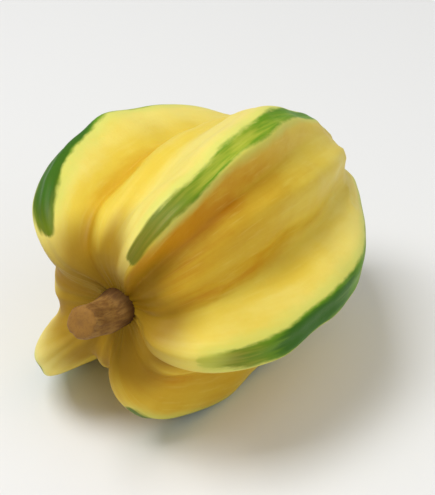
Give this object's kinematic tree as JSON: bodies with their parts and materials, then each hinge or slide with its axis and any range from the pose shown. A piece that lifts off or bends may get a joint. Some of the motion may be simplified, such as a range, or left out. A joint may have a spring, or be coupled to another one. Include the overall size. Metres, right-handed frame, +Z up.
{
  "type": "whole star fruit with its stalk",
  "caption": "Whole ripe star fruit lying on its side: thick ribs with green edges, soft folds in the valleys and a short bent stalk in a pit.",
  "frame": {"origin": "middle of the bounding box, on the surface that the fruit lies on", "axes": "+X along the fruit's own axis, from the stalk to the tip; +Z up"},
  "size_m": [0.0886, 0.0578, 0.0589],
  "materials": {
    "skin": "waxy yellow fruit skin with a satin sheen: green along the crests of the ribs, orange in the valleys",
    "stalk": "dry reddish brown bark, matte, with fine lengthwise ridges"
  },
  "bodies": {
    "root": {"fruit": "skin", "stem": "stalk"}
  },
  "joints": []
}
